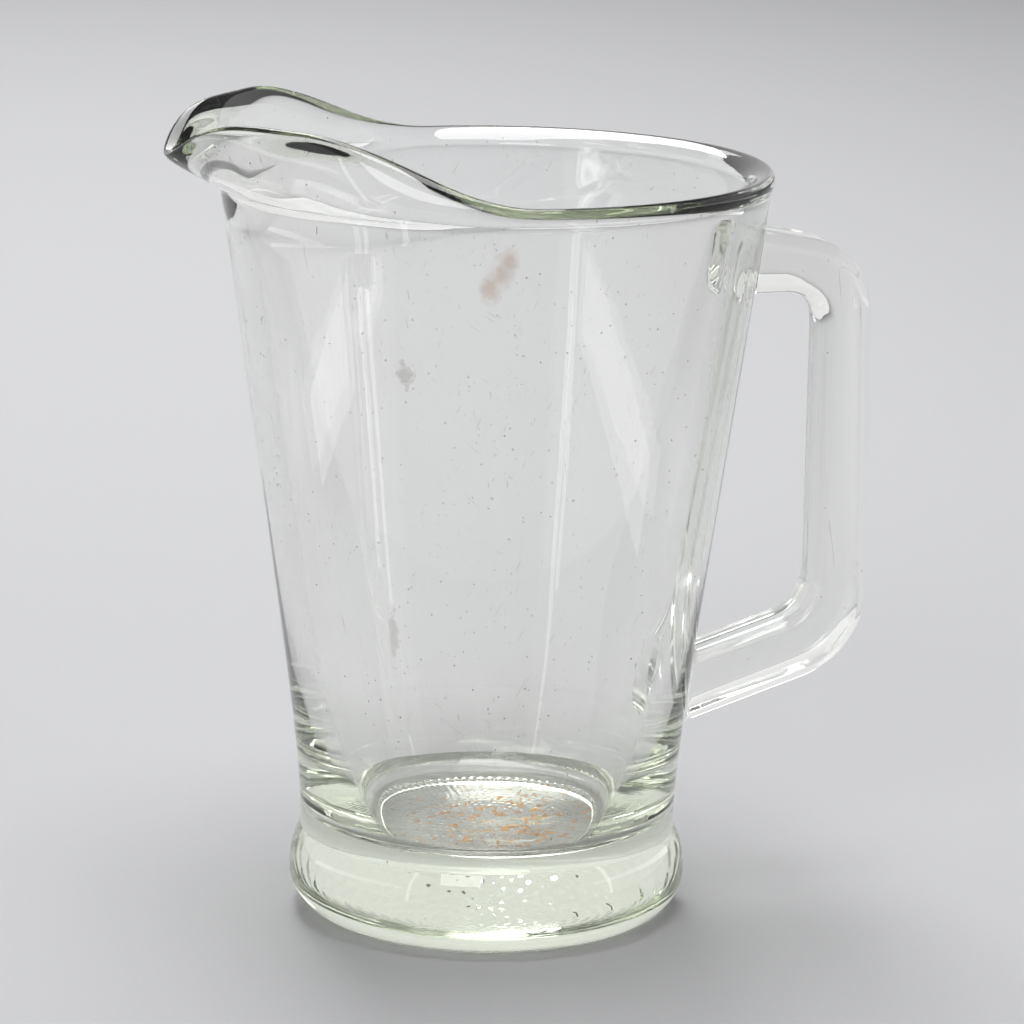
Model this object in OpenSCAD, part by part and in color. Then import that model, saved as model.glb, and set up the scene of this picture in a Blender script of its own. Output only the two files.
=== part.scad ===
// Glass beer pitcher: a tapered vessel with a pouring lip, on a heavy round foot, with an angular handle.
// The three pieces are welded glass. Each meets the next face to face.
// Frame: Z up, origin at the centre of the ring it stands on, handle towards +X, lip towards -X.

/* [Body] */
// Height of the round rim above the table
rim_height = 214.8; // [200:0.1:235]
// Outside radius of the wall at the height of the rim
rim_radius = 77.7; // [70:0.1:84]
// Outside radius of the wall where it stands on the foot
waist_radius = 53.5; // [48:0.1:56]
// Height in which the wall bends out of the vertical
waist_bend = 22; // [10:1:40]
// Thickness of the wall at the rim
wall_top = 7.8; // [6:0.1:8.5]
// Thickness of the wall at the floor
wall_bottom = 16.5; // [12:0.1:18]
// How late the wall thickens on the way down, 1 is evenly
wall_growth = 8; // [4:0.5:10]
// Thickness of the vessel's floor above the foot
floor_thickness = 1.2; // [0.8:0.1:4]
// Radius of the hollow between floor and wall
floor_fillet = 7; // [4:0.5:10]

/* [Rim] */
// Height of the rounded edge of the rim
bead_height = 5.2; // [4:0.1:9]
// How far the rounded edge swells beyond the wall
bead_swell = 1; // [0.5:0.1:3]

/* [Pouring lip] */
// How far the tip reaches out beyond the rim
lip_reach = 15.3; // [8:0.1:20]
// How high the shoulders of the lip rise above the rim
lip_rise = 16.6; // [8:0.1:22]
// How far the tip lies below the shoulders
lip_dip = 11.4; // [4:0.1:14]
// How far the sides of the lip lean inwards
lip_pinch = 3.5; // [0:0.1:6]
// How far the sides of the lip swell outwards above the wall
lip_belly = 2.4; // [0:0.1:5]
// How far the hollow of the lip reaches down the inside of the wall
lip_hollow = 11; // [5:0.5:20]
// Length of the underside of the tip
lip_underside = 6.5; // [4:0.1:9]
// Angle from the tip to where the shoulders are at full height
shoulder_angle = 36; // [25:1:45]
// Angle from the tip to where the lip leaves the round rim
lip_angle = 87; // [70:1:100]
// Angle over which the beak at the tip spreads
beak_angle = 19; // [14:0.5:26]
// Angle over which the dip at the tip spreads
dip_angle = 11; // [8:0.5:16]
// Angle from the tip to where the sides lean in most
pinch_angle = 60; // [50:1:70]
// Angle over which that lean spreads
pinch_spread = 14; // [10:0.5:20]

/* [Foot] */
// Height of the foot, up to the crease below the wall
foot_height = 24.8; // [20:0.1:32]
// Radius of the foot at its widest
foot_radius = 56.7; // [55:0.1:62]
// Radius of the rounded lower edge
foot_round = 12.4; // [8:0.1:16]
// Width of the flat ring that it stands on
bearing_width = 4.5; // [3:0.1:8]
// Height of the hollow under the foot
recess_depth = 1.6; // [0.5:0.1:4]

/* [Handle] */
// Distance from the pitcher's axis to the near face of the grip
grip_offset = 93.4; // [88:0.1:105]
// Depth of the grip at its upper end
grip_depth_top = 13.9; // [11:0.1:18]
// Depth of the grip at its lower end
grip_depth_bottom = 16.4; // [12:0.1:20]
// Width of the handle
handle_width = 20; // [16:0.1:26]
// Width of its bevelled edges
handle_bevel = 3.2; // [1.5:0.1:5]
// Height of the upper arm's top line, measured above the grip
upper_arm_top = 190.5; // [186:0.5:196]
// Height of the upper arm's lower line, measured above the grip
upper_arm_bottom = 178; // [168:0.5:180]
// Fall of the upper arm's top line towards the grip
upper_arm_slope = 10; // [0:0.5:14]
// Height of the lower arm's top line, measured below the grip
lower_arm_top = 86.1; // [80:0.5:95]
// Height of the lower arm's lower line, measured below the grip
lower_arm_bottom = 71.9; // [66:0.5:76]
// Rise of the lower arm towards the grip
lower_arm_slope = 19; // [10:0.5:24]
// Radius of the outside of the upper bend
upper_outer_bend = 20.8; // [16:0.2:26]
// Radius of the inside of the upper bend
upper_inner_bend = 10; // [5:0.2:14]
// Radius of the outside of the lower bend
lower_outer_bend = 27; // [18:0.5:32]
// Radius of the inside of the lower bend
lower_inner_bend = 15; // [8:0.5:20]
// How much the arms spread where they are welded to the wall
root_flare = 1.2; // [0.5:0.1:3]
// Length in which that spread runs out
root_length = 5; // [3:0.1:8]

/* [Hidden] */

// Counts of facets
round_segments = 96;
wall_steps = 12;
edge_steps = 9;
fillet_steps = 6;
bend_steps = 7;
grip_steps = 4;
cap_rings = 3;
flare_steps = 3;
wall_search_steps = 8;
foot_facets = 120;

// Levels and radii that follow from the sizes above
floor_z = foot_height + floor_thickness;
fillet_z = floor_z + floor_fillet;
bead_z = rim_height - bead_height;
wall_slope = (rim_radius - waist_radius)
    / (norm([rim_height - foot_height, waist_bend]) - waist_bend);

// Share of the wall's thickness at the rim that lies outside the crest
ridge_share = 0.2;
ridge_radius = rim_radius - wall_top * ridge_share;

// Shares that shape the rounded edge of the rim and lip
edge_round_share = 0.2;
edge_lift_share = 0.5;
lip_edge_share = 0.7;
hollow_lift_share = 0.62;
lip_lift_share = 0.4;

// How much closer the wall's rings lie at its lower end, 1 is evenly
crowding = 1.5;

// Share of the handle's bevel by which its edges are softened
soft_share = 0.3;

// A step from 0 to 1 with a soft start and end
function soft_step(t) = let (s = max(0, min(1, t))) s * s * (3 - 2 * s);

// A bell that is 1 at its middle
function bell(angle, spread) = exp(-pow(angle / spread, 2));

// A point of a cubic curve with four handles
function cubic(a, b, c, d, t) =
    a * pow(1 - t, 3) + 3 * b * t * pow(1 - t, 2) + 3 * c * t * t * (1 - t) + d * pow(t, 3);

// Radius of the outside of the wall
function outer_radius(z) =
    waist_radius + wall_slope * (norm([z - foot_height, waist_bend]) - waist_bend);

// Thickness of the wall
function wall_thickness(z) =
    wall_top + (wall_bottom - wall_top) * pow((rim_height - z) / (rim_height - floor_z), wall_growth);

function inner_radius(z) = outer_radius(z) - wall_thickness(z);

// How much of the lip's shoulder, beak and lean there is at an angle from the tip
function shoulder(angle) = soft_step((lip_angle - angle) / (lip_angle - shoulder_angle));
function beak(angle) = bell(angle, beak_angle);
function lean(angle) = bell(angle - pinch_angle, pinch_spread);

// Crest of the rim and lip
function crest(angle) = [
    ridge_radius + lip_reach * beak(angle) - lip_pinch * lean(angle),
    rim_height + lip_rise * shoulder(angle) - lip_dip * bell(angle, dip_angle)
];

// Outside of the rounded edge, from the wall up to the crest
function outer_edge(angle) = let (
    top = crest(angle),
    start = [outer_radius(bead_z), bead_z],
    belly = start + [
        bead_swell + lip_belly * shoulder(angle) + lip_underside * beak(angle),
        bead_height * (edge_lift_share + lip_lift_share * shoulder(angle))
    ],
    round_share = edge_round_share + (lip_edge_share - edge_round_share) * shoulder(angle),
    near_top = top + [wall_top * round_share, 0]
) [for (i = [1 : edge_steps]) cubic(start, belly, near_top, top, i / edge_steps)];

// Inside of the edge, from the crest down to the wall
function inner_edge(angle) = let (
    top = crest(angle),
    end_z = bead_z - lip_hollow * shoulder(angle),
    end = [inner_radius(end_z), end_z],
    throat = end + [0, (top[1] - end_z) * hollow_lift_share],
    near_top = top - [wall_top * (edge_round_share + lip_edge_share * beak(angle)), 0]
) [for (i = [1 : edge_steps]) cubic(top, near_top, throat, end, i / edge_steps)];

// Outside of the wall from the foot to the edge, with closer rings where it bends
function outer_wall() = [
    for (i = [0 : wall_steps])
        let (z = foot_height + (bead_z - foot_height) * pow(i / wall_steps, crowding))
        [outer_radius(z), z]
];

// How far the inside of the wall leans out just above the floor
function floor_lean() = atan2(inner_radius(fillet_z) - inner_radius(floor_z), floor_fillet);

// Inside of the wall down to the fillet, with closer rings near the floor
function inner_wall(angle) = let (
    start_z = bead_z - lip_hollow * shoulder(angle),
    end_z = fillet_z - floor_fillet * sin(floor_lean())
) [
    for (i = [wall_steps - 1 : -1 : 0])
        let (z = end_z + (start_z - end_z) * pow(i / wall_steps, crowding))
        [inner_radius(z), z]
];

// Round between the wall and the floor, which starts in line with the wall
function floor_curve() = let (
    lean = floor_lean(),
    middle_radius = inner_radius(fillet_z - floor_fillet * sin(lean)) - floor_fillet * cos(lean)
) [
    for (i = [1 : fillet_steps])
        let (turn = lean + (90 - lean) * i / fillet_steps)
        [middle_radius + floor_fillet * cos(turn), fillet_z - floor_fillet * sin(turn)]
];

// Half section of the vessel at an angle from the tip of the lip
function vessel_section(angle) = concat(
    outer_wall(), outer_edge(angle), inner_edge(angle), inner_wall(angle), floor_curve()
);

// Solid between rings of points, closed at both ends by a fan round a middle point
module lofted(rings, first_middle, last_middle) {
    count = len(rings[0]);
    last = len(rings) - 1;
    points = concat([for (ring = rings) for (point = ring) point], [first_middle, last_middle]);
    first_index = len(points) - 2;
    last_index = len(points) - 1;
    sides = [
        for (i = [0 : last - 1], j = [0 : count - 1])
            let (k = (j + 1) % count)
            each [
                [i * count + j, (i + 1) * count + j, (i + 1) * count + k],
                [i * count + j, (i + 1) * count + k, i * count + k]
            ]
    ];
    first_cap = [for (j = [0 : count - 1]) [first_index, j, (j + 1) % count]];
    last_cap = [
        for (j = [0 : count - 1])
            [last_index, last * count + (j + 1) % count, last * count + j]
    ];
    polyhedron(points, concat(sides, first_cap, last_cap), convexity = 6);
}

module vessel() {
    sections = [
        for (i = [0 : round_segments - 1])
            vessel_section(abs(180 - 360 * i / round_segments))
    ];
    rings = [
        for (j = [0 : len(sections[0]) - 1]) [
            for (i = [0 : round_segments - 1])
                let (turn = 360 * i / round_segments, point = sections[i][j])
                [point[0] * cos(turn), point[0] * sin(turn), point[1]]
        ]
    ];
    color([0.80, 0.88, 0.84, 0.45])
        lofted(rings, [0, 0, foot_height], [0, 0, floor_z]);
}

module foot() {
    side_height = foot_height - foot_round;
    side_inset = foot_radius - waist_radius;
    side_radius = (side_height * side_height + side_inset * side_inset) / (2 * side_inset);
    bearing_radius = foot_radius - foot_round;
    recess_radius = bearing_radius - bearing_width;
    color([0.74, 0.84, 0.78, 0.55])
        rotate_extrude($fn = foot_facets) {
            difference() {
                union() {
                    square([bearing_radius, foot_height]);
                    translate([bearing_radius, foot_round])
                        intersection() {
                            circle(r = foot_round, $fn = foot_facets);
                            translate([0, -foot_round])
                                square(foot_round);
                        }
                    translate([0, foot_round])
                        intersection() {
                            translate([foot_radius - side_radius, 0])
                                circle(r = side_radius, $fn = foot_facets);
                            square([foot_radius, side_height]);
                        }
                }
                polygon([
                    [0, 0],
                    [recess_radius, 0],
                    [recess_radius - recess_depth, recess_depth],
                    [0, recess_depth]
                ]);
            }
        }
}

// Arc that rounds a corner between two directions that lead away from it
function rounded_corner(before_way, corner, after_way, radius) = let (
    u = before_way / norm(before_way),
    v = after_way / norm(after_way),
    half = acos(u * v) / 2,
    middle = corner + (u + v) / norm(u + v) * radius / sin(half),
    first = corner + u * radius / tan(half) - middle,
    last = corner + v * radius / tan(half) - middle,
    sweep = 180 - 2 * half
) [
    for (i = [0 : bend_steps])
        let (t = sweep * i / bend_steps)
        middle + (first * sin(sweep - t) + last * sin(t)) / sin(sweep)
];

// Point where a line from a given point meets the outside of the wall
function reach_wall(point, way, steps) = let (
    gap = norm([point[0], point[1]]) - outer_radius(point[2])
) steps == 0 ? point : reach_wall(point + way * gap, way, steps - 1);

// Bevelled section of the handle, as [depth, width] points round its middle
function handle_section(half_depth, half_width) = let (
    d = half_depth - handle_bevel,
    w = half_width - handle_bevel,
    corners = [
        [half_depth, -w], [half_depth, w], [d, half_width], [-d, half_width],
        [-half_depth, w], [-half_depth, -w], [-d, -half_width], [d, -half_width]
    ]
) [
    for (i = [0 : 7])
        let (
            here = corners[i],
            before = corners[(i + 7) % 8] - here,
            after = corners[(i + 1) % 8] - here,
            soft = handle_bevel * soft_share
        )
        each [here + before / norm(before) * soft, here + after / norm(after) * soft]
];

// Ring of the handle between a point of its outer line and one of its inner line
function handle_ring(outer, inner, flare = 0, share = 1) = let (
    middle = (outer + inner) / 2,
    depth = norm(outer - inner),
    way = (outer - inner) / depth,
    section = handle_section(depth / 2 + flare, handle_width / 2 + flare) * share
) [for (p = section) [middle[0] + way[0] * p[0], -p[1], middle[1] + way[1] * p[0]]];

// Point where a line in the middle plane, given as [distance, height], meets the wall
function line_root(start, way) = let (
    root = reach_wall([start[0], 0, start[1]], [way[0], 0, way[1]], wall_search_steps)
) [root[0], root[2]];

// Rings of an arm, from the middle of its weld out to the end of its spread
function arm_rings(outer_start, outer_way, inner_start, inner_way) = let (
    outer = line_root(outer_start, outer_way),
    inner = line_root(inner_start, inner_way),
    mean_way = (outer_way + inner_way) / norm(outer_way + inner_way),
    weld_way = [mean_way[0], 0, mean_way[1]]
) concat(
    [
        for (i = [1 : cap_rings]) [
            for (point = handle_ring(outer, inner, root_flare, i / cap_rings))
                reach_wall(point, weld_way, wall_search_steps)
        ]
    ],
    [
        for (i = [1 : flare_steps])
            let (t = i / flare_steps, run = root_length * t)
            handle_ring(outer - outer_way * run, inner - inner_way * run, root_flare * pow(1 - t, 2))
    ]
);

// The same rings from the last to the first
function reversed(rings) = [for (i = [len(rings) - 1 : -1 : 0]) rings[i]];

// Middle between two opposite points of a weld's ring, on the wall
function weld_middle(ring) =
    reach_wall((ring[0] + ring[len(ring) / 2]) / 2, [-1, 0, 0], wall_search_steps);

module handle() {
    // Corners of the outer and inner lines, as [distance from the axis, height]
    outer_top = [grip_offset + grip_depth_top, upper_arm_top];
    outer_bottom = [grip_offset + grip_depth_bottom, lower_arm_bottom];
    inner_top = [grip_offset, upper_arm_bottom];
    inner_bottom = [grip_offset, lower_arm_top];
    outer_upper_way = [-cos(upper_arm_slope), sin(upper_arm_slope)];
    inner_upper_way = [-1, 0];
    lower_way = [-cos(lower_arm_slope), -sin(lower_arm_slope)];

    outer_upper = rounded_corner(outer_upper_way, outer_top, outer_bottom - outer_top, upper_outer_bend);
    inner_upper = rounded_corner(inner_upper_way, inner_top, inner_bottom - inner_top, upper_inner_bend);
    outer_lower = rounded_corner(outer_top - outer_bottom, outer_bottom, lower_way, lower_outer_bend);
    inner_lower = rounded_corner(inner_top - inner_bottom, inner_bottom, lower_way, lower_inner_bend);

    upper_arm = arm_rings(outer_top, outer_upper_way, inner_top, inner_upper_way);
    upper_bend = [for (i = [0 : bend_steps]) handle_ring(outer_upper[i], inner_upper[i])];
    grip = [
        for (i = [1 : grip_steps - 1])
            let (t = i / grip_steps)
            handle_ring(
                outer_upper[bend_steps] * (1 - t) + outer_lower[0] * t,
                inner_upper[bend_steps] * (1 - t) + inner_lower[0] * t
            )
    ];
    lower_bend = [for (i = [0 : bend_steps]) handle_ring(outer_lower[i], inner_lower[i])];
    lower_arm = arm_rings(outer_bottom, lower_way, inner_bottom, lower_way);

    color([0.80, 0.88, 0.84, 0.45])
        lofted(
            concat(upper_arm, upper_bend, grip, lower_bend, reversed(lower_arm)),
            weld_middle(upper_arm[0]),
            weld_middle(lower_arm[0])
        );
}

vessel();
foot();
handle();
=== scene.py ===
"""Looks of the glass pitcher: welded glass meshes, glass material, plain pale studio."""
import math

import bmesh
import bpy
import numpy as np
from mathutils import Matrix, Quaternion, Vector


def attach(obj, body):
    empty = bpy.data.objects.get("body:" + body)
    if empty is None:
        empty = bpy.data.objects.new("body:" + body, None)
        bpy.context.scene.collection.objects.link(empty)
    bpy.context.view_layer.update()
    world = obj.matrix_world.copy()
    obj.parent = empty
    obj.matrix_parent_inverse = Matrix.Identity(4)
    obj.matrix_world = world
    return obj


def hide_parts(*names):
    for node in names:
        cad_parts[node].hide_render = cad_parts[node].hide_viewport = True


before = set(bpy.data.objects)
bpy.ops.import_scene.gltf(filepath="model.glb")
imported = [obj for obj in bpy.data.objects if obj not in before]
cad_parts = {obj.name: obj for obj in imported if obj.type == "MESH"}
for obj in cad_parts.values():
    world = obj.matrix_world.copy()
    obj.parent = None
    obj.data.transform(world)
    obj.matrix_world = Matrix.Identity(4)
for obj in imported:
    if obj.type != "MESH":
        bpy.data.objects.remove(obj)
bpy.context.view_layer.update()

MM = 0.001

# Sizes, in millimetres, as in the CAD
RIM_HEIGHT = 214.8
RIM_RADIUS = 77.7
WAIST_RADIUS = 53.5
WAIST_BEND = 22.0
WALL_TOP = 7.8
WALL_BOTTOM = 16.5
WALL_GROWTH = 8.0
FLOOR_THICKNESS = 1.2
FLOOR_FILLET = 7.0
BEAD_HEIGHT = 5.2
BEAD_SWELL = 1.0

LIP_REACH = 15.3
LIP_RISE = 16.6
LIP_DIP = 11.4
LIP_PINCH = 3.5
LIP_BELLY = 2.4
LIP_HOLLOW = 11.0
LIP_UNDERSIDE = 6.5
SHOULDER_ANGLE = 36.0
LIP_ANGLE = 87.0
BEAK_ANGLE = 19.0
DIP_ANGLE = 11.0
PINCH_ANGLE = 60.0
PINCH_SPREAD = 14.0
RIDGE_SHARE = 0.2
EDGE_ROUND_SHARE = 0.2
EDGE_LIFT_SHARE = 0.5
LIP_EDGE_SHARE = 0.7
HOLLOW_LIFT_SHARE = 0.62
LIP_LIFT_SHARE = 0.4

FOOT_HEIGHT = 24.8
FOOT_RADIUS = 56.7
FOOT_ROUND = 12.4
BEARING_WIDTH = 4.5
RECESS_DEPTH = 1.6

# Power of the handle's rounded section: the higher it is, the sharper are its eight corners
SECTION_POWER = 26.0
# Share of the spread at a weld by which the bevel grows too
BEVEL_SPREAD_SHARE = 0.6
GRIP_OFFSET = 93.4
GRIP_DEPTH_TOP = 13.9
GRIP_DEPTH_BOTTOM = 16.4
HANDLE_WIDTH = 20.0
HANDLE_BEVEL = 3.2
UPPER_ARM_TOP = 190.5
UPPER_ARM_BOTTOM = 178.0
UPPER_ARM_SLOPE = 10.0
LOWER_ARM_TOP = 86.1
LOWER_ARM_BOTTOM = 71.9
LOWER_ARM_SLOPE = 19.0
UPPER_OUTER_BEND = 20.8
UPPER_INNER_BEND = 10.0
LOWER_OUTER_BEND = 27.0
LOWER_INNER_BEND = 15.0

# Fine detail that only the looks carry
WELD_FILLET = 2.2
WELD_GAP = 0.01
KNURLS = 96
KNURL_DEPTH = 0.35
STIPPLE_PITCH = 2.2
STIPPLE_DEPTH = 0.07
# Plain rim round the stipple, and plain disc in its middle
STIPPLE_RIM = 0.6
STIPPLE_MIDDLE = 1.2

# Mesh density
ROUND_SEGMENTS = 192
FOOT_SEGMENTS = 6 * KNURLS
WALL_ROWS = 96
OUTER_EDGE_ROWS = 22
INNER_EDGE_ROWS = 26
UPPER_INSIDE_ROWS = 26
LOWER_INSIDE_ROWS = 40
FILLET_ROWS = 16
FLOOR_ROWS = 16
FOOT_SIDE_ROWS = 12
FOOT_ROUND_ROWS = 24
BEARING_ROWS = 7
RECESS_ROWS = 6
STIPPLE_ROWS = 101
PATCH_CELLS = 18
WELD_FILLET_RINGS = 7
ARM_RINGS = 8
BEND_RINGS = 16
GRIP_RINGS = 20

# Steps of the search for the wall from a point, and the turn in radians from which an edge is sharp
WALL_SEARCH_STEPS = 12
SHARP_EDGE = 1.0

FLOOR_Z = FOOT_HEIGHT + FLOOR_THICKNESS
RIDGE_RADIUS = RIM_RADIUS - WALL_TOP * RIDGE_SHARE
BEAD_Z = RIM_HEIGHT - BEAD_HEIGHT
WALL_SLOPE = (RIM_RADIUS - WAIST_RADIUS) / (math.hypot(RIM_HEIGHT - FOOT_HEIGHT, WAIST_BEND) - WAIST_BEND)


# Profile of the vessel
def outer_radius(z):
    return WAIST_RADIUS + WALL_SLOPE * (np.hypot(z - FOOT_HEIGHT, WAIST_BEND) - WAIST_BEND)


def inner_radius(z):
    depth = (RIM_HEIGHT - z) / (RIM_HEIGHT - FLOOR_Z)
    return outer_radius(z) - WALL_TOP - (WALL_BOTTOM - WALL_TOP) * np.clip(depth, 0, 1) ** WALL_GROWTH


def shoulder(angle):
    s = np.clip((LIP_ANGLE - angle) / (LIP_ANGLE - SHOULDER_ANGLE), 0, 1)
    return s * s * (3 - 2 * s)


def bell(angle, spread):
    return math.exp(-((angle / spread) ** 2))


def crest(angle):
    beak, pinch = bell(angle, BEAK_ANGLE), bell(angle - PINCH_ANGLE, PINCH_SPREAD)
    radius = RIDGE_RADIUS + LIP_REACH * beak - LIP_PINCH * pinch
    height = RIM_HEIGHT + LIP_RISE * shoulder(angle) - LIP_DIP * bell(angle, DIP_ANGLE)
    return np.array([radius, height])


def cubic(a, b, c, d, steps):
    t = np.linspace(0, 1, steps + 1)[1:, None]
    return a * (1 - t) ** 3 + 3 * b * t * (1 - t) ** 2 + 3 * c * t * t * (1 - t) + d * t**3


def outer_edge(angle, steps):
    top = crest(angle)
    start = np.array([outer_radius(BEAD_Z), BEAD_Z])
    belly = start + [
        BEAD_SWELL + LIP_BELLY * shoulder(angle) + LIP_UNDERSIDE * bell(angle, BEAK_ANGLE),
        BEAD_HEIGHT * (EDGE_LIFT_SHARE + LIP_LIFT_SHARE * shoulder(angle)),
    ]
    round_share = EDGE_ROUND_SHARE + (LIP_EDGE_SHARE - EDGE_ROUND_SHARE) * shoulder(angle)
    return cubic(start, belly, top + [WALL_TOP * round_share, 0], top, steps)


def inner_edge(angle, steps):
    top = crest(angle)
    end_z = BEAD_Z - LIP_HOLLOW * shoulder(angle)
    end = np.array([inner_radius(end_z), end_z])
    throat = end + [0, (top[1] - end_z) * HOLLOW_LIFT_SHARE]
    near_top = top - [WALL_TOP * (EDGE_ROUND_SHARE + LIP_EDGE_SHARE * bell(angle, BEAK_ANGLE)), 0]
    return cubic(top, near_top, throat, end, steps)


def vessel_section(angle):
    """Half section at an angle from the lip's tip: up the outside, over the edge, down to the floor."""
    z = np.linspace(FOOT_HEIGHT, BEAD_Z, WALL_ROWS + 1)
    outside = np.stack([outer_radius(z), z], 1)
    lean = math.atan((inner_radius(FLOOR_Z + FLOOR_FILLET) - inner_radius(FLOOR_Z)) / FLOOR_FILLET)
    start_z = BEAD_Z - LIP_HOLLOW * shoulder(angle)
    end_z = FLOOR_Z + FLOOR_FILLET * (1 - math.sin(lean))
    middle_z = (start_z + end_z) / 2
    upper_z = np.linspace(start_z, middle_z, UPPER_INSIDE_ROWS + 1)[1:]
    lower_z = np.linspace(middle_z, end_z, LOWER_INSIDE_ROWS + 1)[1:]
    z = np.concatenate([upper_z, lower_z])
    inside = np.stack([inner_radius(z), z], 1)
    turn = np.linspace(lean, math.pi / 2, FILLET_ROWS + 1)[1:]
    middle = inner_radius(end_z) - FLOOR_FILLET * math.cos(lean)
    fillet = np.stack([middle + FLOOR_FILLET * np.cos(turn), FLOOR_Z + FLOOR_FILLET * (1 - np.sin(turn))], 1)
    r = np.linspace(fillet[-1, 0], 0, FLOOR_ROWS + 2)[1:-1]
    floor = np.stack([r, np.full_like(r, FLOOR_Z)], 1)
    edges = [outer_edge(angle, OUTER_EDGE_ROWS), inner_edge(angle, INNER_EDGE_ROWS)]
    return np.concatenate([outside, *edges, inside, fillet, floor])


def on_wall(points):
    """The points moved onto the outside of the wall at their own height."""
    r = outer_radius(points[:, 2]) / np.hypot(points[:, 0], points[:, 1])
    return np.stack([points[:, 0] * r, points[:, 1] * r, points[:, 2]], 1)


def wall_normal(points):
    r = np.hypot(points[:, 0], points[:, 1])
    slope = WALL_SLOPE * (points[:, 2] - FOOT_HEIGHT) / np.hypot(points[:, 2] - FOOT_HEIGHT, WAIST_BEND)
    n = np.stack([points[:, 0] / r, points[:, 1] / r, -slope], 1)
    return n / np.linalg.norm(n, axis=1)[:, None]


# Sections of the handle
def section_ring(half_depth, half_width, flare):
    """Soft octagon as (depth, width), with its points in the order of the weld's edge on the wall."""
    side = np.linspace(-1, 1, PATCH_CELLS + 1)[:-1]
    one = np.ones_like(side)
    a, b = half_depth + flare, half_width + flare
    x = a * np.concatenate([one, -side, -one, side])
    y = b * np.concatenate([side, one, -side, -one])
    corner = a + b - HANDLE_BEVEL - BEVEL_SPREAD_SHARE * flare
    sides = (np.abs(x) / a) ** SECTION_POWER + (np.abs(y) / b) ** SECTION_POWER
    bevels = ((np.abs(x) + np.abs(y)) / corner) ** SECTION_POWER
    gauge = (sides + bevels) ** (1 / SECTION_POWER)
    return np.stack([x / gauge, y / gauge], 1)


def handle_ring(outer, inner, flare=0.0):
    middle, depth = (outer + inner) / 2, np.linalg.norm(outer - inner)
    way = (outer - inner) / depth
    s = section_ring(depth / 2, HANDLE_WIDTH / 2, flare)
    return np.stack([middle[0] + way[0] * s[:, 0], s[:, 1], middle[1] + way[1] * s[:, 0]], 1)


def rounded_corner(before, corner, after, radius, steps):
    u, v = before / np.linalg.norm(before), after / np.linalg.norm(after)
    half = math.acos(u @ v) / 2
    middle = corner + (u + v) / np.linalg.norm(u + v) * radius / math.sin(half)
    first = corner + u * radius / math.tan(half) - middle
    last = corner + v * radius / math.tan(half) - middle
    sweep = math.pi - 2 * half
    t = np.linspace(0, sweep, steps + 1)[:, None]
    return middle + (first * np.sin(sweep - t) + last * np.sin(t)) / math.sin(sweep)


def to_wall(points, way):
    points = np.array(points, float)
    for _ in range(WALL_SEARCH_STEPS):
        gap = np.hypot(points[:, 0], points[:, 1]) - outer_radius(points[:, 2])
        points = points + way * gap[:, None]
    return points


def line_root(start, way):
    p = to_wall([[start[0], 0, start[1]]], np.array([way[0], 0, way[1]]))[0]
    return np.array([p[0], p[2]])


def arm_rings(outer_start, outer_way, inner_start, inner_way, outer_end, inner_end):
    """Rings from the weld on the wall, over its small fillet, out to the bend."""
    outer, inner = line_root(outer_start, outer_way), line_root(inner_start, inner_way)
    mean = (outer_way + inner_way) / np.linalg.norm(outer_way + inner_way)
    way = np.array([mean[0], 0, mean[1]])
    rings = []
    for i in range(WELD_FILLET_RINGS):
        turn = math.pi / 2 * (1 - i / WELD_FILLET_RINGS)
        ring = handle_ring(outer, inner, WELD_FILLET * (1 - math.cos(turn)))
        rings.append(to_wall(ring, way) - way * WELD_FILLET * (1 - math.sin(turn)))
    root = to_wall(handle_ring(outer, inner), way) - way * WELD_FILLET
    bend = handle_ring(outer_end, inner_end)
    for i in range(ARM_RINGS):
        rings.append(root + (bend - root) * i / ARM_RINGS)
    return rings


def handle_rings():
    outer_top = np.array([GRIP_OFFSET + GRIP_DEPTH_TOP, UPPER_ARM_TOP])
    outer_bottom = np.array([GRIP_OFFSET + GRIP_DEPTH_BOTTOM, LOWER_ARM_BOTTOM])
    inner_top = np.array([GRIP_OFFSET, UPPER_ARM_BOTTOM])
    inner_bottom = np.array([GRIP_OFFSET, LOWER_ARM_TOP])
    slope = math.radians(UPPER_ARM_SLOPE)
    outer_way, inner_way = np.array([-math.cos(slope), math.sin(slope)]), np.array([-1.0, 0.0])
    slope = math.radians(LOWER_ARM_SLOPE)
    lower_way = np.array([-math.cos(slope), -math.sin(slope)])
    outer_down, inner_down = outer_bottom - outer_top, inner_bottom - inner_top
    outer_upper = rounded_corner(outer_way, outer_top, outer_down, UPPER_OUTER_BEND, BEND_RINGS)
    inner_upper = rounded_corner(inner_way, inner_top, inner_down, UPPER_INNER_BEND, BEND_RINGS)
    outer_lower = rounded_corner(-outer_down, outer_bottom, lower_way, LOWER_OUTER_BEND, BEND_RINGS)
    inner_lower = rounded_corner(-inner_down, inner_bottom, lower_way, LOWER_INNER_BEND, BEND_RINGS)
    rings = arm_rings(outer_top, outer_way, inner_top, inner_way, outer_upper[0], inner_upper[0])
    rings += [handle_ring(o, i) for o, i in zip(outer_upper, inner_upper)]
    for t in np.linspace(0, 1, GRIP_RINGS + 1)[1:-1]:
        outer = outer_upper[-1] * (1 - t) + outer_lower[0] * t
        inner = inner_upper[-1] * (1 - t) + inner_lower[0] * t
        rings.append(handle_ring(outer, inner))
    rings += [handle_ring(o, i) for o, i in zip(outer_lower, inner_lower)]
    lower_arm = arm_rings(outer_bottom, lower_way, inner_bottom, lower_way, outer_lower[-1], inner_lower[-1])
    return rings + lower_arm[::-1]


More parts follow.
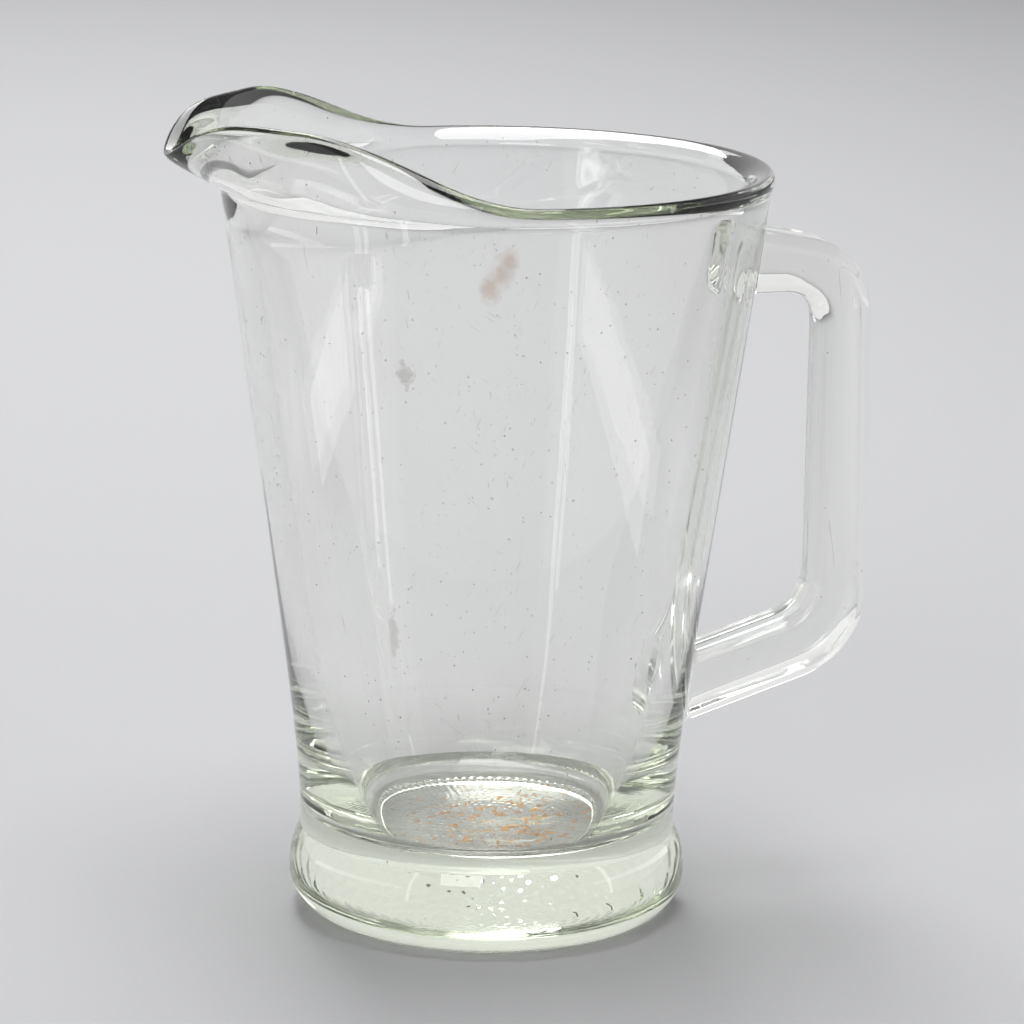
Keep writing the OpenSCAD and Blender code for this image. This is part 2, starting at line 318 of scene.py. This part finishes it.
def weld_caps(ring, side):
    """Rings that close a weld on the wall, just off it to one side."""
    middle = ring.mean(0)
    caps = []
    for share in (0.75, 0.5, 0.25, 0.0):
        p = middle + (ring - middle) * share if share else middle[None]
        p = on_wall(p)
        caps.append(p + wall_normal(p) * side * WELD_GAP)
    return caps


# Meshes
class Shell:
    """Collects the points and faces of one closed mesh. Faces of a weld are marked as such."""

    def __init__(self):
        self.points, self.faces, self.welds, self.count = [], [], [], 0

    def add(self, points):
        points = np.atleast_2d(points)
        index = np.arange(self.count, self.count + len(points))
        self.points.append(points)
        self.count += len(points)
        return index

    def face(self, corners, weld):
        self.faces.append([int(c) for c in corners])
        self.welds.append(float(weld))

    def strip(self, a, b, weld=False):
        for i in range(len(a)):
            k = (i + 1) % len(a)
            self.face((a[i], a[k], b[k], b[i]), weld)

    def fan(self, ring, middle, weld=False):
        for i in range(len(ring)):
            self.face((ring[i], ring[(i + 1) % len(ring)], middle), weld)

    def close(self, outline, rings, weld=True):
        """Closes an outline with smaller rings, the last of which is a single point."""
        for ring in rings:
            index = self.add(ring)
            if len(index) > 1:
                self.strip(outline, index, weld)
                outline = index
            else:
                self.fan(outline, index[0], weld)

    def build(self, name):
        me = bpy.data.meshes.new(name)
        me.from_pydata((np.concatenate(self.points) * MM).tolist(), [], self.faces)
        weld = me.attributes.new("weld", "FLOAT", "FACE")
        weld.data.foreach_set("value", self.welds)
        me.polygons.foreach_set("use_smooth", [True] * len(self.faces))
        bm = bmesh.new()
        bm.from_mesh(me)
        bmesh.ops.recalc_face_normals(bm, faces=bm.faces)
        layer = bm.faces.layers.float["weld"]
        for edge in bm.edges:
            one_kind = len({f[layer] for f in edge.link_faces}) == 1
            edge.smooth = one_kind and edge.calc_face_angle(0) < SHARP_EDGE
        bm.to_mesh(me)
        bm.free()
        ob = bpy.data.objects.new(name, me)
        bpy.context.scene.collection.objects.link(ob)
        return ob


def disc_rings(radius, z, segments):
    turn = 2 * math.pi * np.arange(segments) / segments
    rings = [
        np.stack([radius * s * np.cos(turn), radius * s * np.sin(turn), np.full(segments, z)], 1)
        for s in (0.8, 0.6, 0.4, 0.2)
    ]
    return rings + [np.array([[0, 0, z]])]


def hole_outline(low, high):
    """Grid points round a weld's hole in the wall, as (row, column), in the order of section_ring."""
    half = PATCH_CELLS // 2
    side = range(-half, half)
    return (
        [(high, s) for s in side] + [(high - half - s, half) for s in side]
        + [(low, -s) for s in side] + [(low + half + s, -half) for s in side]
    )


def vessel_mesh(roots):
    shell = Shell()
    n, half = ROUND_SEGMENTS, PATCH_CELLS // 2
    sections = np.array([vessel_section(abs(180 - 360 * i / n)) for i in range(n)])
    turn = 2 * math.pi * np.arange(n) / n
    rows = [
        np.stack([r * np.cos(turn), r * np.sin(turn), z], 1)
        for r, z in zip(sections[:, :, 0].T, sections[:, :, 1].T)
    ]
    index = [shell.add(row) for row in rows]
    row_z = np.linspace(FOOT_HEIGHT, BEAD_Z, WALL_ROWS + 1)
    holes = []
    for ring in roots:
        middle = int(np.argmin(abs(row_z - (ring[:, 2].min() + ring[:, 2].max()) / 2)))
        holes.append((middle - half, middle + half, ring))
    for j in range(len(rows) - 1):
        for i in range(n):
            column = i if i < n // 2 else i - n
            if -half <= column < half and any(low <= j < high for low, high, _ in holes):
                continue
            k = (i + 1) % n
            shell.face((index[j][i], index[j][k], index[j + 1][k], index[j + 1][i]), False)
    for low, high, ring in holes:
        outline = [(j, i % n) for j, i in hole_outline(low, high)]
        edge = np.array([rows[j][i] for j, i in outline])
        previous = np.array([index[j][i] for j, i in outline])
        for t in (0.25, 0.5, 0.75, 1.0):
            now = shell.add(on_wall(edge * (1 - t) + ring * t))
            shell.strip(previous, now)
            previous = now
        shell.close(previous, weld_caps(ring, -1))
    shell.fan(index[-1], shell.add([[0, 0, FLOOR_Z]])[0])
    shell.close(index[0], disc_rings(WAIST_RADIUS, FOOT_HEIGHT + WELD_GAP, n))
    return shell


def foot_profile():
    """Half section from the crease down the side, round to the bearing ring and in under the foot."""
    side_height, side_inset = FOOT_HEIGHT - FOOT_ROUND, FOOT_RADIUS - WAIST_RADIUS
    side_radius = (side_height**2 + side_inset**2) / (2 * side_inset)
    t = np.linspace(math.asin(side_height / side_radius), 0, FOOT_SIDE_ROWS + 1)
    side = np.stack([FOOT_RADIUS - side_radius * (1 - np.cos(t)), FOOT_ROUND + side_radius * np.sin(t)], 1)
    t = np.linspace(0, math.pi / 2, FOOT_ROUND_ROWS + 1)[1:]
    bearing = FOOT_RADIUS - FOOT_ROUND
    corner = np.stack([bearing + FOOT_ROUND * np.cos(t), FOOT_ROUND * (1 - np.sin(t))], 1)
    recess = bearing - BEARING_WIDTH
    r = np.linspace(bearing, recess, BEARING_ROWS + 1)[1:]
    ring = np.stack([r, np.zeros_like(r)], 1)
    t = np.linspace(0, 1, RECESS_ROWS + 1)[1:]
    step = np.stack([recess - RECESS_DEPTH * t, RECESS_DEPTH * t * t * (3 - 2 * t)], 1)
    r = np.linspace(recess - RECESS_DEPTH, STIPPLE_MIDDLE, STIPPLE_ROWS + 1)[1:]
    under = np.stack([r, np.full_like(r, RECESS_DEPTH)], 1)
    return np.concatenate([side, corner, ring, step, under]), bearing, recess


def foot_relief(r, z, turn, bearing, recess):
    """Knurls of the bearing ring and the stipple of the recess, as a lift at each point of a ring."""
    if z == 0 and recess < r < bearing:
        across = math.sin(math.pi * (bearing - r) / BEARING_WIDTH)
        return KNURL_DEPTH * across * (0.5 - 0.5 * np.cos(KNURLS * turn))
    if z == RECESS_DEPTH and r < recess - RECESS_DEPTH - STIPPLE_RIM:
        row = math.floor(r / STIPPLE_PITCH)
        radius = (row + 0.5) * STIPPLE_PITCH
        count = max(3, round(2 * math.pi * radius / STIPPLE_PITCH))
        across = math.sin(math.pi * (r / STIPPLE_PITCH - row))
        uneven = 0.65 + 0.35 * np.sin(5 * turn + 1.7 * row) * np.sin(13 * turn - 0.9 * row)
        return STIPPLE_DEPTH * across * uneven * (0.5 - 0.5 * np.cos(count * turn + 2.4 * row))
    return np.zeros_like(turn)


def foot_mesh():
    shell = Shell()
    turn = 2 * math.pi * np.arange(FOOT_SEGMENTS) / FOOT_SEGMENTS
    profile, bearing, recess = foot_profile()
    previous = top = None
    for r, z in profile:
        height = z + foot_relief(r, z, turn, bearing, recess)
        now = shell.add(np.stack([r * np.cos(turn), r * np.sin(turn), height + 0 * turn], 1))
        if previous is None:
            top = now
        else:
            shell.strip(previous, now)
        previous = now
    shell.fan(previous, shell.add([[0, 0, RECESS_DEPTH]])[0])
    shell.close(top, disc_rings(WAIST_RADIUS, FOOT_HEIGHT - WELD_GAP, FOOT_SEGMENTS))
    return shell


def handle_mesh(rings):
    shell = Shell()
    index = [shell.add(ring) for ring in rings]
    for a, b in zip(index, index[1:]):
        shell.strip(a, b)
    shell.close(index[0], weld_caps(rings[0], 1))
    shell.close(index[-1], weld_caps(rings[-1], 1))
    return shell


# Materials
class Nodes:
    """Shorthand for the nodes of one material."""

    def __init__(self, name):
        self.material = bpy.data.materials.new(name)
        self.material.use_nodes = True
        self.tree = self.material.node_tree
        self.shader = self.tree.nodes["Principled BSDF"]
        self.output = self.tree.nodes["Material Output"]

    def add(self, kind, **inputs):
        node = self.tree.nodes.new("ShaderNode" + kind)
        for key, value in inputs.items():
            self.put(node.inputs[key.replace("_", " ")], value)
        return node

    def put(self, socket, value):
        if isinstance(value, bpy.types.NodeSocket):
            self.tree.links.new(value, socket)
        else:
            socket.default_value = value

    def math(self, operation, a, b=0.0, c=0.0, clamp=False):
        node = self.tree.nodes.new("ShaderNodeMath")
        node.operation, node.use_clamp = operation, clamp
        for socket, value in zip(node.inputs, (a, b, c)):
            self.put(socket, value)
        return node.outputs[0]

    def ramp(self, value, low, high, out_low=0.0, out_high=1.0):
        node = self.tree.nodes.new("ShaderNodeMapRange")
        node.interpolation_type = "SMOOTHSTEP"
        ends = {"Value": value, "From Min": low, "From Max": high, "To Min": out_low, "To Max": out_high}
        for key, end in ends.items():
            self.put(node.inputs[key], end)
        return node.outputs["Result"]

    def noise(self, place, scale, detail=2.0, roughness=0.5):
        node = self.add("TexNoise", Vector=place, Scale=scale, Detail=detail, Roughness=roughness)
        return node.outputs["Fac"]

    def mix(self, share, a, b):
        node = self.tree.nodes.new("ShaderNodeMix")
        node.data_type = "RGBA"
        self.put(node.inputs["Factor"], share)
        self.put(node.inputs["A"], a)
        self.put(node.inputs["B"], b)
        return node.outputs["Result"]

    def stretched(self, place, scale):
        return self.add("Mapping", Vector=place, Scale=scale).outputs["Vector"]

    def turned(self, place, angles):
        return self.add("Mapping", Vector=place, Rotation=angles).outputs["Vector"]

    def vector_math(self, operation, *values):
        node = self.tree.nodes.new("ShaderNodeVectorMath")
        node.operation = operation
        for socket, value in zip(node.inputs, values):
            self.put(socket, value)
        return node.outputs

    def patch(self, place, centre, size):
        """Distance from a point, in units of an ellipsoid's size, which is 1 on the ellipsoid."""
        away = self.vector_math("SUBTRACT", place, [c * MM for c in centre])["Vector"]
        scaled = self.vector_math("DIVIDE", away, [s * MM for s in size])["Vector"]
        return self.vector_math("LENGTH", scaled)["Value"]


# Colours of the glass and of what lies on it
GLASS_TINT = (0.82, 0.90, 0.66, 1)
TINT_DENSITY = 5.5
GLASS_IOR = 1.52
# Depth of the waves of the pressed surface at full strength, in metres
WAVE_DEPTH = 0.0006
DUST_COLOUR = (0.80, 0.79, 0.76, 1)
RUST_COLOUR = (0.50, 0.21, 0.07, 1)
SMEAR_COLOUR = (0.62, 0.34, 0.10, 1)
# Turn and fineness of each set of hair scratches. Foot and handle carry the first set only
SCRATCH_DIRECTIONS = (((0.0, 0.12, 0.3), 1900.0), ((0.0, -0.5, 1.1), 1600.0), ((0.25, 0.9, -0.6), 2100.0))

# Places and half sizes of the dried marks, in millimetres
SMUDGE_PLACE, SMUDGE_SIZE = (-36.9, -60.7, 168.3), (3.0, 3.0, 4.5)
SCUFF_PLACE, SCUFF_SIZE = (-37.0, -48.2, 94.5), (1.6, 1.6, 9.0)
SMEAR_PLACES = ((-12.0, -74.7, 200.4), (-14.1, -73.8, 196.9), (-16.5, -72.7, 193.2))
SMEAR_SIZE = (2.8, 4.0, 3.8)
RUST_PLACE, RUST_SIZE = (4.0, -12.0, 26.0), (31.0, 26.0, 2.0)


def dust_mask(n, place):
    """Fine specks and lint: small voronoi cells, only some of which hold a speck."""
    cells = n.add("TexVoronoi", Vector=place, Scale=420.0)
    chosen = n.add("SeparateColor", Color=cells.outputs["Color"])
    speck = n.ramp(cells.outputs["Distance"], 0.10, 0.16, 1.0, 0.0)
    keep = n.ramp(chosen.outputs[0], 0.86, 0.90)
    area = n.ramp(n.noise(place, 24.0), 0.40, 0.62)
    return n.math("MULTIPLY", n.math("MULTIPLY", speck, keep), area)


def scratch_mask(n, place, directions):
    """Straight hair scratches: the peaks of noise drawn out into fine streaks, in the given directions."""
    total = None
    for turn, scale in directions:
        drawn = n.stretched(n.turned(place, turn), (1.0, 1.0, 0.04))
        streak = n.ramp(n.noise(drawn, scale, 0.0), 0.82, 0.87)
        total = streak if total is None else n.math("MAXIMUM", total, streak)
    return n.math("MULTIPLY", total, n.ramp(n.noise(place, 30.0), 0.42, 0.62))


def vessel_marks(n, place):
    """The lime smudge, the upright scuff and the brown smear that the pitcher carries."""
    ragged = n.noise(place, 420.0, 3.0)
    smudge = n.patch(place, SMUDGE_PLACE, SMUDGE_SIZE)
    smudge = n.ramp(n.math("ADD", smudge, n.math("MULTIPLY", ragged, 1.8)), 1.1, 1.8, 0.4, 0.0)
    scuff = n.patch(place, SCUFF_PLACE, SCUFF_SIZE)
    scuff = n.ramp(n.math("ADD", scuff, n.math("MULTIPLY", ragged, 1.6)), 1.1, 1.8, 0.22, 0.0)
    white = n.math("MAXIMUM", smudge, scuff)
    upper, middle, lower = (n.patch(place, centre, SMEAR_SIZE) for centre in SMEAR_PLACES)
    smear = n.math("SMOOTH_MIN", n.math("SMOOTH_MIN", upper, middle, 0.5), lower, 0.5)
    smear = n.math("ADD", smear, n.math("MULTIPLY", ragged, 1.2))
    smear = n.ramp(smear, 0.7, 2.0, 0.22, 0.0)
    return white, smear


def rust_mask(n, place):
    """Rust-brown flecks dried on the floor."""
    area = n.patch(place, RUST_PLACE, RUST_SIZE)
    flecks = n.noise(place, 400.0, 4.0, 0.6)
    return n.ramp(n.math("SUBTRACT", flecks, n.math("MULTIPLY", area, 0.13)), 0.46, 0.56, 0.0, 0.75)


def glass(name, wave=0.15, marks=False, dusty=0.75):
    """Pressed glass, faintly green where thick, with hair scratches, and dust and marks as asked."""
    n = Nodes(name)
    place = n.add("TexCoord").outputs["Object"]
    directions = SCRATCH_DIRECTIONS if marks else SCRATCH_DIRECTIONS[:1]
    dust, scratches = dust_mask(n, place), scratch_mask(n, place, directions)
    haze = n.ramp(n.noise(place, 14.0, 3.0), 0.45, 0.8, 0.0, 0.018)
    white = n.math("MAXIMUM", n.math("MULTIPLY", dust, dusty), n.math("MULTIPLY", scratches, 0.12))
    brown = None
    if marks:
        extra, smear = vessel_marks(n, place)
        white = n.math("MAXIMUM", white, extra)
        brown = n.math("MAXIMUM", smear, rust_mask(n, place))
    dirt = n.math("MAXIMUM", white, haze)
    colour = n.mix(n.ramp(dirt, 0.0, 0.05), (1, 1, 1, 1), DUST_COLOUR)
    if brown is not None:
        dirt = n.math("MAXIMUM", dirt, brown)
        stain = n.mix(n.ramp(n.noise(place, 700.0), 0.3, 0.7), RUST_COLOUR, SMEAR_COLOUR)
        colour = n.mix(n.math("MULTIPLY", brown, 2.4, clamp=True), colour, stain)
    n.put(n.shader.inputs["Base Color"], colour)
    n.put(n.shader.inputs["Transmission Weight"], n.math("SUBTRACT", 1.0, dirt, clamp=True))
    n.put(n.shader.inputs["Roughness"], n.math("MULTIPLY_ADD", dirt, 0.5, 0.008, clamp=True))
    n.shader.inputs["IOR"].default_value = GLASS_IOR
    weld = n.add("Attribute")
    weld.attribute_name = "weld"
    n.put(n.shader.inputs["Alpha"], n.math("SUBTRACT", 1.0, weld.outputs["Fac"]))
    slow = n.noise(n.stretched(place, (1.0, 1.0, 0.14)), 70.0, 1.0)
    fine = n.noise(place, 260.0, 2.0)
    bump = n.add("Bump", Strength=wave, Distance=WAVE_DEPTH,
                 Height=n.math("ADD", slow, n.math("MULTIPLY", fine, 0.035)))
    n.put(n.shader.inputs["Normal"], bump.outputs[0])
    tint = n.add("VolumeAbsorption", Color=GLASS_TINT, Density=TINT_DENSITY)
    n.put(n.output.inputs["Volume"], tint.outputs[0])
    return n.material


# Studio, in metres
FLOOR_DARK, FLOOR_PALE = (0.56, 0.56, 0.57, 1), (0.60, 0.60, 0.61, 1)
FLOOR_RADIUS = 3.9
FLOOR_BEND = 0.8
FLOOR_WALL = 2.0
FLOOR_SEGMENTS = 128
PANEL_DISTANCE = 2.7
PANEL_HEIGHT = 2.2


def floor_material():
    n = Nodes("studio_floor")
    place = n.add("TexCoord").outputs["Object"]
    grain = n.noise(place, 900.0, 2.0)
    n.put(n.shader.inputs["Base Color"], n.mix(grain, FLOOR_DARK, FLOOR_PALE))
    n.put(n.shader.inputs["Roughness"], n.ramp(grain, 0.3, 0.7, 0.75, 0.85))
    n.shader.inputs["Specular IOR Level"].default_value = 0.0
    return n.material


def studio_floor():
    """A round floor that turns up into a wall all round, with no edge in view."""
    n = FLOOR_SEGMENTS
    turn = 2 * math.pi * np.arange(n) / n
    profile = [(r, 0.0) for r in np.linspace(0.05, FLOOR_RADIUS, 16)]
    for t in np.linspace(0, math.pi / 2, 13)[1:]:
        profile.append((FLOOR_RADIUS + FLOOR_BEND * math.sin(t), FLOOR_BEND * (1 - math.cos(t))))
    profile.append((FLOOR_RADIUS + FLOOR_BEND, FLOOR_BEND + FLOOR_WALL))
    points = [[0.0, 0.0, 0.0]]
    for r, z in profile:
        points += [[r * math.cos(t), r * math.sin(t), z] for t in turn]
    faces = [(0, 1 + i, 1 + (i + 1) % n) for i in range(n)]
    for j in range(len(profile) - 1):
        a, b = 1 + n * j, 1 + n * (j + 1)
        faces += [(a + i, b + i, b + (i + 1) % n, a + (i + 1) % n) for i in range(n)]
    me = bpy.data.meshes.new("studio_floor")
    me.from_pydata(points, [], faces)
    me.polygons.foreach_set("use_smooth", [True] * len(faces))
    me.materials.append(floor_material())
    ob = bpy.data.objects.new("studio_floor", me)
    bpy.context.scene.collection.objects.link(ob)


def softbox(name, place, aim, size, watts, roll=0.0, lights_floor=True):
    """A rectangular lamp that faces a point and that the camera doesn't see itself."""
    lamp = bpy.data.lights.new(name, "AREA")
    lamp.shape, lamp.size, lamp.size_y, lamp.energy = "RECTANGLE", size[0], size[1], watts
    ob = bpy.data.objects.new(name, lamp)
    bpy.context.scene.collection.objects.link(ob)
    ob.location = place
    facing = (Vector(aim) - Vector(place)).to_track_quat("-Z", "Y")
    ob.rotation_euler = (facing @ Quaternion((0, 0, 1), math.radians(roll))).to_euler()
    ob.visible_camera = False
    ob.visible_diffuse = lights_floor


def tube(name, place, length, width, radiance, roll):
    """A narrow lamp that shows as a blade of light in the glass and leaves no pool on the floor."""
    watts = radiance * math.pi * length * width
    softbox(name, place, (0, 0, place[2] - 0.03), (length, width), watts, roll, lights_floor=False)


def panel(name, x, y, radiance):
    """One side of a square of pale panels, which show through the foot and along the edges of the glass."""
    size, middle = (2 * PANEL_DISTANCE, PANEL_HEIGHT), PANEL_HEIGHT / 2
    watts = radiance * math.pi * size[0] * size[1]
    place = (PANEL_DISTANCE * x, PANEL_DISTANCE * y, middle)
    softbox(name, place, (0, 0, middle), size, watts, lights_floor=False)


def studio_light():
    """Tubes and panels, by radiance, show only in the glass. Softboxes, by watts, light the floor too."""
    tube("left_tube", (-0.84, 0.05, 0.15), 1.1, 0.05, 1.4, 11)
    tube("right_tube", (0.80, -0.05, 0.15), 1.1, 0.05, 1.4, -11)
    tube("left_front_tube", (-0.80, -0.55, 0.32), 0.6, 0.045, 2.6, 90)
    tube("right_front_tube", (0.85, -0.45, 0.32), 0.6, 0.045, 2.6, 90)
    softbox("top_softbox", (0.0, 1.0, 1.6), (0, 1.0, 0), (0.7, 3.2), 42)
    softbox("front_softbox", (-0.9, -1.7, 1.3), (0, 0, 0.15), (0.9, 0.7), 8)
    panel("back_panel", 0, 1, 0.7)
    panel("left_panel", -1, 0, 0.7)
    panel("right_panel", 1, 0, 0.7)
    panel("front_panel", 0, -1, 0.35)
    world = bpy.data.worlds.new("studio")
    bpy.context.scene.world = world
    world.use_nodes = True
    background = world.node_tree.nodes["Background"]
    background.inputs["Color"].default_value = (0.95, 0.97, 1.0, 1)
    background.inputs["Strength"].default_value = 0.18


# The camera that was fitted to the photograph: place in millimetres, way it looks, its upward direction
CAMERA_PLACE = (-267.33, -1257.67, 413.04)
CAMERA_WAY = (0.2069341, 0.95205858, -0.22530587)
CAMERA_UP = (0.03288683, 0.22339139, 0.97417388)
FOCAL_LENGTH = 163.84


def camera():
    data = bpy.data.cameras.new("camera")
    data.sensor_width, data.lens, data.clip_end = 36.0, FOCAL_LENGTH, 20.0
    ob = bpy.data.objects.new("camera", data)
    bpy.context.scene.collection.objects.link(ob)
    way, up = Vector(CAMERA_WAY), Vector(CAMERA_UP)
    right = way.cross(up)
    facing = Matrix((right, up, -way)).transposed().to_4x4()
    ob.matrix_world = Matrix.Translation(Vector(CAMERA_PLACE) * MM) @ facing
    bpy.context.scene.camera = ob


def glass_paths():
    """Enough bounces for light to pass the walls, the thick foot and the weld faces."""
    cycles = bpy.context.scene.cycles
    cycles.max_bounces = 24
    cycles.transmission_bounces = 24
    cycles.glossy_bounces = 10
    cycles.transparent_max_bounces = 32


def dress(shell, name, node, material):
    ob = shell.build(name)
    ob.data.materials.append(material)
    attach(ob, "root")
    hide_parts(node)
    return ob


rings = handle_rings()
dress(vessel_mesh((rings[0], rings[-1])), "vessel_glass", "vessel", glass("vessel_glass", marks=True))
dress(foot_mesh(), "foot_glass", "foot", glass("foot_glass", wave=0.35, dusty=0.0))
dress(handle_mesh(rings), "handle_glass", "handle", glass("handle_glass", wave=0.3))
studio_floor()
studio_light()
camera()
glass_paths()
bpy.context.scene.view_settings.view_transform = "Standard"
